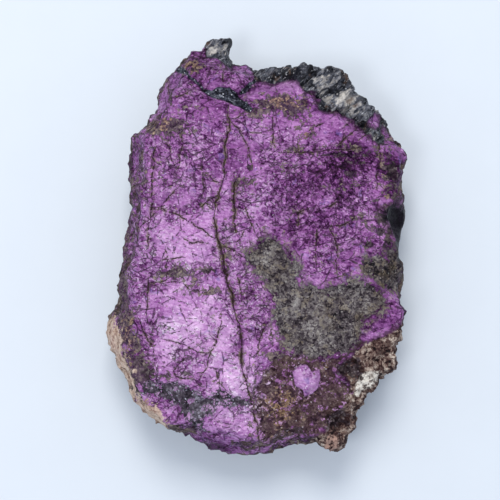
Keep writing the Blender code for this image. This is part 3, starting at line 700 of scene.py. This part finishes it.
def inside(at, corners):
    """How far each place is inside the outline seen from above, or outside, below 0."""
    corners = np.array(corners, float)
    flat = at[:, :2]
    gap = np.full(len(at), 99.0)
    within = np.zeros(len(at), bool)
    for start, end in zip(corners, np.roll(corners, -1, 0)):
        run = end - start
        along = np.clip(((flat - start) @ run) / (run @ run), 0, 1)
        gap = np.minimum(gap, np.hypot(*(flat - start - along[:, None] * run).T))
        crosses = (start[1] > flat[:, 1]) != (end[1] > flat[:, 1])
        rise = run[1] if run[1] else 1e-9
        within ^= crosses & (flat[:, 0] < start[0] + run[0] * (flat[:, 1] - start[1]) / rise)
    return np.where(within, gap, -gap)


def region(left_out, *outlines):
    """How far each place is inside any of the outlines, up to 2, and -2 where left out."""
    depth = np.clip(np.maximum.reduce([inside(places, each) for each in outlines]), -2, 2)
    depth[left_out] = -2
    return depth


def ragged(name, wave, speck, low, high):
    """How much a marked region covers, with a wavy and speckled edge."""
    edge = mark(name) + (stain_noise - 0.5) * wave
    return step(edge + (flecks - 0.5) * speck if speck else edge, low, high)


marks["patch"] = region(~above, PATCH_OUTLINE, EAST_FACET)
sugar, sugar_edge, sugar_tags = chipped(places, 0.42, 31, 0.55)
in_patch = ease(marks["patch"] + 0.15 * ripple(places, 0.5, 32), -0.05, 0.25)
relief += in_patch * on_top * (sugar * 0.5 + (sugar_tags[:, 3] - 0.5) * 0.12 - 0.10
                               - 0.08 * ease(-sugar_edge, -0.06, 0) - steps_on_top * 0.7)

# Painted shade: the patch is made darker over the sunk east facet and at a spot south-west of it.
marks["deep"] = blots(places, ((12.3, -3.2, 2.4, 2.2, 1.0), (8.8, -9.0, 1.5, 2.0, 0.3)))
patch_share = ragged("patch", 1.9, 1.0, -0.10, 0.12)
sugar_tone = drift * 0.66 + grain_pick * 0.28 + small_pick * 0.16 - mark("deep") * 0.16 - 0.03
patch_tone = ramp(sugar_tone, (0.26, 20, 15, 22), (0.40, 60, 51, 58), (0.53, 100, 92, 96),
                  (0.64, 134, 128, 128), (0.80, 178, 174, 172))
patch_tone = mix(step(rubble + small_pick * 0.25 + grain_pick * 0.25, 0.86, 0.94) * 0.4,
                 patch_tone, tone(126, 112, 88))
patch_tone = mix(step(cloud + (flecks - 0.5) * 0.3, 0.50, 0.66) * 0.32, patch_tone,
                 tone(92, 80, 64))
# Pale grey specks: partly pale grains and partly painted glints standing for sparkles of light.
patch_tone = mix(step(glint_pick, 0.96, 0.98) * 0.6, patch_tone, tone(164, 160, 156))
patch_height = small_face * 0.32 + grain_face * 0.5 + fine * 0.08
patch_rim = ragged("patch", 3.4, 1.6, -0.75, -0.25)
coat.lay(patch_rim * purple_share * 0.55, film, 0.7, 0.0, coat.height)
coat.lay(patch_share, patch_tone, between(grain_pick, 0.45, 0.70), 0.0, patch_height)

# On the right a round hollow is scooped out of the edge, blackish and a little glassy
# inside, with a dull slope down to it. The blackish inside and the dark ring round it are
# partly the rock's own colour and partly painted shade of the hollow.
underside = under > 0.6
bowl = (1 - np.hypot((places[:, 1] - 0.9) / 3.0, (places[:, 2] - 6.9) / 3.4)
        + 0.30 * ripple(places, 2.6, 33, 3))
marks["scoop"] = np.minimum(region(underside, SCOOP), bowl * 2.4)
marks["slope"] = np.minimum(region(underside, SCOOP_SLOPE), (places[:, 2] - 4.5) * 0.7)
relief *= 1 - 0.75 * ease(marks["scoop"], -0.1, 0.4)
slope_share = ragged("slope", 0.7, 0.4, -0.1, 0.1)
coat.lay(slope_share * step(stain_noise, 0.44, 0.52) * 0.85,
         ramp(sugar_tone, (0.3, 20, 16, 22), (0.6, 76, 70, 68), (0.85, 120, 112, 100)),
         0.55, 0.0, patch_height)
# Partly painted shade: a dark ring round the hollow.
scoop_rim = ragged("scoop", 2.4, 0.6, -1.0, 0.0)
coat.lay(scoop_rim * 0.7, ramp(sugar_tone, (0.35, 20, 12, 18), (0.6, 66, 54, 56),
                               (0.8, 112, 98, 92)), 0.6, 0.0, patch_height)
# Partly painted shade: the near-black inside of the hollow.
scoop_share = ragged("scoop", 1.6, 0.5, -0.15, 0.30)
coat.lay(scoop_share * 0.97, ramp(sugar_tone, (0.40, 8, 6, 12), (0.65, 30, 26, 36),
                                  (0.9, 84, 76, 86)),
         0.45, 0.7, small_face * 0.18 + grain_face * 0.15)

# THE DARK VEIN
# A thin blue-grey vein that crosses the top of the face and leaves it in an open gap.
VEIN_OUTLINE = (
    (-5.5, 15.5), (-5.2, 15.0), (-4.5, 14.8), (-3.9, 15.1), (-2.7, 14.9), (-2.1, 14.4),
    (-1.4, 13.8), (-0.8, 13.2), (-0.5, 12.8), (-0.8, 12.5), (-1.2, 12.7), (-1.7, 13.0),
    (-2.5, 13.4), (-3.5, 13.7), (-4.5, 14.0), (-5.3, 14.6), (-5.7, 15.2))
VEIN_END = ((-8.2, 17.4), (-7.6, 17.9), (-6.7, 16.6), (-7.0, 16.4), (-7.7, 16.9))
VEIN_LINKS = ((0.16, ((-6.9, 16.5), (-6.2, 15.8), (-5.5, 15.1))),
              (0.20, ((-1.7, 14.3), (-1.0, 14.9), (-0.2, 15.9), (0.3, 16.8))))
link_gap, _, link_width = beside(places + wander, VEIN_LINKS)
marks["vein"] = np.clip(np.maximum.reduce((
    inside(places, VEIN_OUTLINE), inside(places, VEIN_END), link_width - link_gap)), -1, 1)
marks["vein"][~above] = -1
relief -= on_top * ease(marks["vein"], -0.15, 0.15) * (0.12 + 0.08 * ripple(places, 0.5, 41))

vein_share = step(mark("vein") + (mottle - 0.5) * 0.35, -0.04, 0.08)
vein_tone = ramp(fine_flecks, (0.30, 14, 14, 20),
                 (0.48, 44, 46, 58), (0.62, 84, 88, 102),
                 (0.78, 168, 172, 182))
# Painted glints: sparse pale blue-white specks standing for sparkles of light on the vein.
vein_tone = mix(step(glint_pick, 0.95, 0.97) * 0.8, vein_tone, tone(206, 208, 220))
coat.lay(vein_share, vein_tone, 0.40, 0.3, fine * 0.10 + small_face * 0.45 + grain_face * 0.5)

# THE BLOCKY GREY ROCK
# The rock that the purpurite grew against, left on the far right corner: quartz and
# feldspar blocks, grey to nearly black with pale faces, and two chips of purple on them.
ROCK_LINE = (
    (-0.4, 16.5), (0.1, 16.1), (0.6, 15.6), (1.4, 15.5), (1.9, 15.7), (2.7, 15.9),
    (3.9, 16.0), (4.3, 15.2), (4.7, 14.6), (5.5, 14.6), (6.0, 13.8), (6.1, 12.9),
    (6.6, 12.6), (8.0, 12.8), (8.7, 12.4), (9.4, 11.9), (10.0, 11.3), (10.7, 10.5),
    (11.2, 9.9), (11.8, 9.3), (12.4, 9.6), (13.1, 9.6), (14.0, 10.5), (19.0, 10.5),
    (19.0, 25.0), (-0.4, 25.0))
NUB = ((-5.0, 18.6), (-4.2, 18.4), (-3.4, 18.0), (-2.6, 17.4), (-2.0, 18.6), (-2.0, 21.5),
       (-5.4, 21.5))
PURPLE_CHIPS = (
    ((10.9, 12.1), (11.6, 12.8), (12.3, 12.5), (12.1, 11.5), (11.6, 10.9), (10.7, 11.3)),
    ((12.3, 11.6), (13.0, 11.6), (13.9, 10.5), (14.5, 9.4), (14.1, 8.5), (13.1, 8.9),
     (12.4, 9.6)))
marks["blocks"] = np.minimum(region(underside, ROCK_LINE, NUB),
                             -region(underside, *PURPLE_CHIPS))
in_blocks = ease(marks["blocks"], -0.1, 0.2)
BLOCK_TURN = math.radians(-48)
block_lie = np.array(((math.cos(BLOCK_TURN), -math.sin(BLOCK_TURN), 0),
                      (math.sin(BLOCK_TURN), math.cos(BLOCK_TURN), 0), (0, 0, 1)))
block_places = (places + plate_push * 0.4) @ block_lie / (0.75, 1.7, 1.0)
block, _, block_tags = chipped(block_places, 1.25, 51, 0.75)
bit, _, bit_tags = chipped(places, 0.7, 52, 0.5)
on_nub = ease(inside(places, NUB), -0.2, 0.3)
facets = spread(block * 0.8 + bit * 0.3 + (block_tags[:, 3] - 0.5) * 0.40, 2)
relief += in_blocks * foot * (facets * (1 - 0.5 * on_nub) - 0.18 * on_nub
                              - on_top * steps_on_top * 0.8 - wall * small_flake * 0.4)
marks["block_tone"] = (block_tags[:, 1] * 0.40 + bit_tags[:, 1] * 0.14 + 0.13) + blots(places, (
    (8.6, 14.4, 1.0, 0.9, 0.30), (6.9, 15.6, 1.2, 1.4, 0.10), (5.2, 14.4, 0.6, 1.2, -0.30),
    (10.2, 12.9, 0.9, 0.8, 0.20), (3.0, 16.8, 2.0, 0.7, -0.10), (9.6, 16.4, 1.0, 1.4, -0.25),
    (12.0, 10.4, 0.6, 1.2, -0.2), (-3.6, 19.2, 0.8, 0.7, 0.20), (1.0, 16.0, 1.5, 0.4, -0.25)))

blocks_share = ragged("blocks", 0.7, 0, -0.05, 0.10)
block_at = stretched(fine_at, (0.7, 2.2, 1.0), BLOCK_TURN)
block_pick, block_face = grained(block_at, 0.55)
rock_pick = (mark("block_tone") + (fine - 0.5) * 0.45 + (flecks - 0.5) * 0.30
             + (block_pick - 0.5) * 0.40)
stone_grey = ramp(rock_pick, (0.12, 18, 18, 24), (0.34, 56, 58, 68),
                  (0.52, 102, 104, 114), (0.70, 158, 154, 152),
                  (0.90, 216, 210, 204))
stone_grey = mix(step(drift, 0.58, 0.68) * 0.6, stone_grey, tone(112, 88, 74))
stone_grey = mix(step(noise(stretched(here, (0.30, 2.6, 0.6), BLOCK_TURN), 0.5, 3.0),
                      0.58, 0.68) * 0.55, stone_grey, tone(186, 186, 192))
# Painted glints: sparse white dots standing for sparkles of light on the blocks.
stone_grey = mix(step(glint_pick, 0.96, 0.99) * 0.4, stone_grey, tone(226, 226, 232))
stone_grey = mix(step(grain_pick + mark("block_tone") * -0.3, 0.72, 0.80) * 0.7, stone_grey,
                 tone(24, 22, 28))
blocks_rim = ragged("blocks", 1.1, 0, -0.40, -0.05)
coat.lay(blocks_rim * 0.75, tone(26, 16, 24), 0.6, 0.0, coat.height - 0.05)
coat.lay(blocks_share, stone_grey, between(fine, 0.30, 0.60), 0.0,
         fine * 0.06 + block_face * 0.55 + small_face * 0.32 + grain_face * 0.3)

# THE BROKEN NEAR RIGHT CORNER
# Pale feldspar and brown crumbly rock with two black hollows, and a beige lump at the tip.
CORNER_LINE = (
    (7.5, -12.7), (8.3, -12.0), (9.4, -11.0), (10.3, -10.2), (11.7, -9.6), (13.2, -8.9),
    (14.3, -8.0), (19.0, -8.0), (19.0, -25.0), (5.0, -25.0), (5.0, -19.4), (6.4, -18.6),
    (6.4, -16.6), (8.0, -15.6), (8.9, -14.4), (8.3, -13.4))
PALE_ROCK = (
    (9.7, -13.2), (10.7, -12.8), (11.6, -12.8), (11.4, -13.9), (10.7, -14.5), (10.0, -14.8),
    (9.6, -15.3), (9.2, -15.2), (9.3, -14.4))
BLACK_HOLLOWS = (
    ((7.5, -12.5), (8.3, -12.1), (9.5, -12.1), (9.9, -12.7), (9.2, -13.5), (8.3, -13.4)),
    ((6.7, -17.0), (7.8, -16.7), (8.6, -17.0), (8.4, -17.9), (7.6, -18.5), (6.5, -18.3)))
LUMP = ((6.2, -19.6), (6.6, -19.0), (7.2, -18.9), (7.7, -19.3), (7.6, -20.3), (7.0, -20.7),
        (6.5, -20.3))
for name, outlines in (("corner", (CORNER_LINE,)), ("pale", (PALE_ROCK,)),
                       ("hollow", BLACK_HOLLOWS), ("lump", (LUMP,))):
    marks[name] = region(underside, *outlines)
crumb, _, crumb_tags = chipped(places, 0.62, 61, 0.5)
in_corner = ease(marks["corner"], -0.1, 0.3)
relief += in_corner * foot * (crumb * 0.5 + (crumb_tags[:, 3] - 0.5) * 0.18
                              - on_top * steps_on_top * 0.8)
relief -= ease(marks["hollow"] + 0.7 * ripple(places, 0.8, 62), -0.15, 0.5) * on_top * 0.30

corner_share = ragged("corner", 0.9, 0, -0.05, 0.15)
corner_tone = ramp(rubble * 0.6 + flecks * 0.4, (0.30, 18, 8, 12),
                   (0.43, 66, 42, 42), (0.55, 124, 102, 94),
                   (0.72, 214, 200, 188))
crumb_height = small_face * 0.45 + grain_face * 0.5 + fine * 0.12
corner_rim = ragged("corner", 1.8, 0.4, -0.55, -0.10)
coat.lay(corner_rim * 0.75, tone(44, 20, 26), 0.6, 0.0, coat.height - 0.04)
coat.lay(corner_share, corner_tone, 0.75, 0.0, crumb_height)
lump_share = step(mark("lump") + (mottle - 0.5) * 0.5, -0.05, 0.15)
coat.lay(lump_share, mix(step(fine * 0.6 + flecks * 0.4, 0.34, 0.56), tone(60, 38, 38),
                         tone(184, 150, 138)), 0.7, 0.0, crumb_height)
pale_share = step(mark("pale") + (mottle - 0.5) * 0.6, -0.06, 0.12)
coat.lay(pale_share, ramp(fine_flecks, (0.26, 52, 40, 42),
                         (0.42, 160, 148, 140), (0.56, 232, 226, 218)),
         0.6, 0.0, crumb_height)
hollow_share = ragged("hollow", 3.2, 1.6, -0.15, 0.15)
coat.lay(hollow_share * 0.88, ramp(fine_flecks, (0.36, 14, 6, 14),
                                   (0.60, 44, 30, 44), (0.80, 120, 108, 118)),
         0.55, 0.0, crumb_height)

# THE WEATHERED END AND THE RIND
# Along the near edge the purple has flaked off and left dark, brown and ochre rock, with a
# tan rind folded over the left edge.
WEATHERED = (
    (-0.3, -14.4), (0.3, -13.2), (1.5, -11.9), (2.7, -11.0), (3.5, -11.3), (4.9, -11.7),
    (6.4, -11.7), (7.5, -11.4), (8.3, -11.4), (7.8, -12.2), (7.2, -12.9), (7.6, -13.7),
    (8.5, -14.1), (8.8, -14.8), (8.3, -15.8), (7.6, -16.7), (6.6, -16.9), (6.5, -18.0),
    (5.7, -18.7), (4.0, -19.1), (2.5, -19.3), (1.2, -19.5), (0.3, -19.8), (0.0, -18.4),
    (-0.3, -17.0))
RAISED_FLAKE = (
    (3.2, -12.9), (3.9, -12.2), (4.6, -12.2), (5.1, -12.9), (5.8, -12.6), (5.9, -13.7),
    (5.6, -14.6), (5.1, -15.0), (4.4, -15.3), (4.2, -14.6), (3.5, -14.2))
DARK_END = (
    (-11.4, -14.1), (-10.3, -13.6), (-9.0, -14.0), (-8.1, -13.7), (-6.9, -14.1),
    (-6.0, -14.7), (-5.3, -15.2), (-4.5, -15.2), (-3.8, -14.4), (-3.2, -14.7),
    (-2.6, -15.1), (-1.9, -15.3), (-0.9, -15.5), (-0.8, -16.3), (-1.9, -16.1),
    (-2.8, -16.3), (-3.9, -16.0), (-4.2, -16.4), (-4.5, -16.9), (-5.0, -17.1),
    (-5.3, -17.4), (-5.1, -18.4), (-5.4, -18.6), (-6.2, -18.4), (-6.9, -17.6),
    (-7.4, -16.9), (-7.6, -16.1), (-8.4, -15.9), (-9.3, -15.2), (-10.2, -15.2),
    (-11.2, -15.0))
RIND = (
    (-14.1, -7.0), (-13.5, -8.8), (-12.8, -10.7), (-12.0, -12.6), (-11.6, -14.1),
    (-11.1, -15.1), (-10.1, -15.5), (-9.3, -16.3), (-8.8, -17.0), (-9.5, -19.0),
    (-19.0, -19.0), (-19.0, -7.0))
for name, outlines in (("weathered", (WEATHERED,)), ("flake", (RAISED_FLAKE,)),
                       ("dark_end", (DARK_END,)), ("rind", (RIND,))):
    marks[name] = region(underside, *outlines)
torn = ripple(places, 2.4, 63, 3)
marks["rind"] = np.minimum(marks["rind"] + 0.9 * torn, (places[:, 2] - 2.6) * 0.6 + 1.1 * torn)
in_weathered = ease(np.maximum(marks["weathered"], marks["dark_end"]), -0.1, 0.3)
in_weathered *= 1 - ease(marks["flake"], -0.1, 0.1)
relief += in_weathered * on_top * (crumb * 0.4 + (crumb_tags[:, 3] - 0.5) * 0.14 - 0.10
                                   - steps_on_top * 0.5)
relief += ease(marks["flake"], -0.06, 0.06) * on_top * 0.12

weathered_share = (ragged("weathered", 2.0, 0, -0.12, 0.12)
                   * step(mark("flake") + (mottle - 0.5) * 0.3, 0.05, -0.05))
earth_pick = rubble * 0.6 + flecks * 0.25 + glint_pick * 0.15
earth = ramp(earth_pick, (0.30, 26, 12, 18), (0.44, 66, 44, 46),
             (0.56, 90, 72, 70), (0.68, 124, 108, 98), (0.82, 190, 178, 168))
ochre = step(drift * 0.6 + mark("ochre") * 0.3 + (flecks - 0.5) * 0.6, 0.46, 0.66)
earth = mix(ochre * 0.55, earth, ramp(grain_pick, (0.0, 116, 82, 52),
                                      (1.0, 186, 156, 108)))
left_purple = step(stain_noise + (flecks - 0.5) * 0.45, 0.60, 0.66)
earth = mix(left_purple * 0.8, earth, purple)
# Painted glints: sparse white-lilac specks standing for sparkles of light on the weathered rock.
earth = mix(step(glint_pick + drift * 0.3, 1.13, 1.16) * 0.7, earth, tone(206, 194, 206))
coat.lay(weathered_share * 0.95, earth, between(grain_pick, 0.35, 0.75), 0.0, crumb_height)
dark_share = ragged("dark_end", 1.3, 0.7, -0.08, 0.08)
dark_tone = ramp(rubble * 0.5 + flecks * 0.5, (0.28, 20, 14, 20),
                 (0.46, 62, 54, 66), (0.60, 96, 88, 100), (0.76, 150, 144, 160))
dark_tone = mix(left_purple * 0.8, dark_tone, purple)
# Painted glints: sparse whitish specks standing for sparkles of light on the dark rock.
dark_tone = mix(step(glint_pick, 0.94, 0.96) * 0.6, dark_tone, tone(190, 190, 208))
coat.lay(dark_share, dark_tone, between(grain_pick, 0.35, 0.65), 0.0, crumb_height)
rind_share = ragged("rind", 1.8, 0.6, -0.12, 0.16)
rind_at = stretched(here, (1.0, 1.0, 0.35))
rind_tone = ramp(noise(rind_at, 0.9, 5.0, 0.4) * 0.7 + flecks * 0.3, (0.28, 72, 50, 44),
                 (0.40, 158, 128, 112), (0.52, 206, 180, 162),
                 (0.70, 232, 214, 198))
coat.lay(rind_share * 0.95, rind_tone, 0.7, 0.0,
         noise(rind_at, 0.4, 4.0) * 0.16 + small_face * 0.22 + grain_face * 0.25)

# The relief is pressed into the skin, the skin fitted back to the solid's own box, and
# what each point is made of written on it.
shaped = places + facing * relief[:, None]
low, high = (np.array(corner) / MM for corner in cad_box)
shaped = np.clip(shaped, low, high)
span = shaped.max(0) - shaped.min(0)
shaped = low + (shaped - shaped.min(0)) * (high - low) / span
cut.vertices.foreach_set("co", (shaped * MM).ravel())
for name, values in marks.items():
    cut.attributes.new(name, "FLOAT", "POINT").data.foreach_set(
        "value", np.asarray(values, np.float32))
cut.polygons.foreach_set("use_smooth", np.ones(len(cut.polygons), bool))
cut.update()

# The finish is carried on one picture: the top and the underside side by side, and below
# them the four sides a little smaller, each as it is seen from straight out.
CHART_UNIT = 62.7
SIDE_SHARE = 0.74
TOP_PULL = 1.35
CHART_PLACES = {  # which way it faces: across, up, share of size, left, bottom, mirrored
    4: (0, 1, 1.0, 0.005, 0.310, False), 5: (0, 1, 1.0, 0.512, 0.310, True),
    0: (1, 2, SIDE_SHARE, 0.005, 0.010, False), 1: (1, 2, SIDE_SHARE, 0.005, 0.158, True),
    2: (0, 2, SIDE_SHARE, 0.520, 0.010, True), 3: (0, 2, SIDE_SHARE, 0.520, 0.158, False)}
chart = cut.uv_layers.new(name="OFBake")
loop_points = np.empty(len(cut.loops), int)
cut.loops.foreach_get("vertex_index", loop_points)
starts = np.empty(len(cut.polygons), int)
cut.polygons.foreach_get("loop_start", starts)
totals = np.empty(len(cut.polygons), int)
cut.polygons.foreach_get("loop_total", totals)
face_way = np.add.reduceat(spread(outward, 12)[loop_points], starts) / totals[:, None]
face_way[:, 2] *= TOP_PULL
axis = np.abs(face_way).argmax(1)
away = np.take_along_axis(face_way, axis[:, None], 1)[:, 0] < 0
chart_sides = np.repeat(axis * 2 + away, totals)
chart_spots = np.empty((len(loop_points), 2))
for side, (across, up, share, left, bottom, mirrored) in CHART_PLACES.items():
    chosen = chart_sides == side
    spot = shaped[loop_points[chosen]] - low
    if mirrored:
        spot[:, across] = (high - low)[across] - spot[:, across]
    chart_spots[chosen] = spot[:, (across, up)] * share / CHART_UNIT + (left, bottom)
chart.uv.foreach_set("vector", chart_spots.ravel())

DULL_SHINE = 0.18


def dress(looks):
    """Ends the material with a surface of these looks."""
    Wire.node("OutputMaterial", {},
              {"Surface": Wire.node("BsdfPrincipled", {}, looks)})


dress({"Base Color": coat.colour, "Roughness": coat.roughness, "Metallic": coat.metallic,
       "Specular IOR Level": DULL_SHINE,
       "Normal": Wire.node("Bump", {}, {"Distance": MM, "Height": coat.height})})
cut.materials.clear()
cut.materials.append(finish_material)
stone = put("purpurite_stone", cut)
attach(stone, "root")
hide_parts("purpurite")

# THE TABLE, THE LIGHT AND THE CAMERA
# A plain pale sheet under the stone, in a bright room with one soft lamp beyond its far end
# and a fainter one at the near left. The camera looks down, a little from the near side.
HALF_FLOOR = 0.6
sheet = bpy.data.meshes.new("floor")
sheet.from_pydata([(-HALF_FLOOR, -HALF_FLOOR, 0), (HALF_FLOOR, -HALF_FLOOR, 0),
                   (HALF_FLOOR, HALF_FLOOR, 0), (-HALF_FLOOR, HALF_FLOOR, 0)], [], [(0, 1, 2, 3)])
floor = put("floor", sheet)
floor_material, wiring = fresh("pale_floor")
dress({"Base Color": mix(noise(in_mm(), 6.0, 3.0), tone(214, 222, 232), tone(218, 226, 236)),
       "Roughness": 0.7})
sheet.materials.append(floor_material)

world = bpy.data.worlds.new("room")
bpy.context.scene.world = world
world.use_nodes = True
background = world.node_tree.nodes["Background"]
background.inputs["Color"].default_value = (0.84, 0.90, 1.0, 1)
background.inputs["Strength"].default_value = 0.70


def soft_lamp(name, size, energy, colour, place, angles):
    """A square lamp, its place in metres and its turn in degrees."""
    light = bpy.data.lights.new(name, "AREA")
    light.size, light.energy, light.color = size, energy, colour
    lamp = put(name, light)
    lamp.location = place
    lamp.rotation_euler = [math.radians(angle) for angle in angles]


soft_lamp("lamp", 0.15, 0.78, (1.0, 0.965, 0.90), (-0.02, 0.19, 0.35), (-28.5, -3, 0))
soft_lamp("sheen_lamp", 0.08, 0.22, (1.0, 1.0, 1.0), (-0.10, -0.085, 0.32), (14.5, -17, 0))

IMAGE_WIDTH = 500
FOCAL_PIXELS = 1371
CAMERA_PLACE = (-2.745, -15.425, 142.72)
CAMERA_ANGLES = (6.188, -0.803, -0.284)
view = bpy.data.cameras.new("camera")
view.sensor_width = 36
view.lens = FOCAL_PIXELS / IMAGE_WIDTH * view.sensor_width
view.clip_start = 0.005
camera = put("camera", view)
camera.location = [length * MM for length in CAMERA_PLACE]
camera.rotation_euler = [math.radians(angle) for angle in CAMERA_ANGLES]
bpy.context.scene.camera = camera
bpy.context.scene.view_settings.view_transform = "Standard"
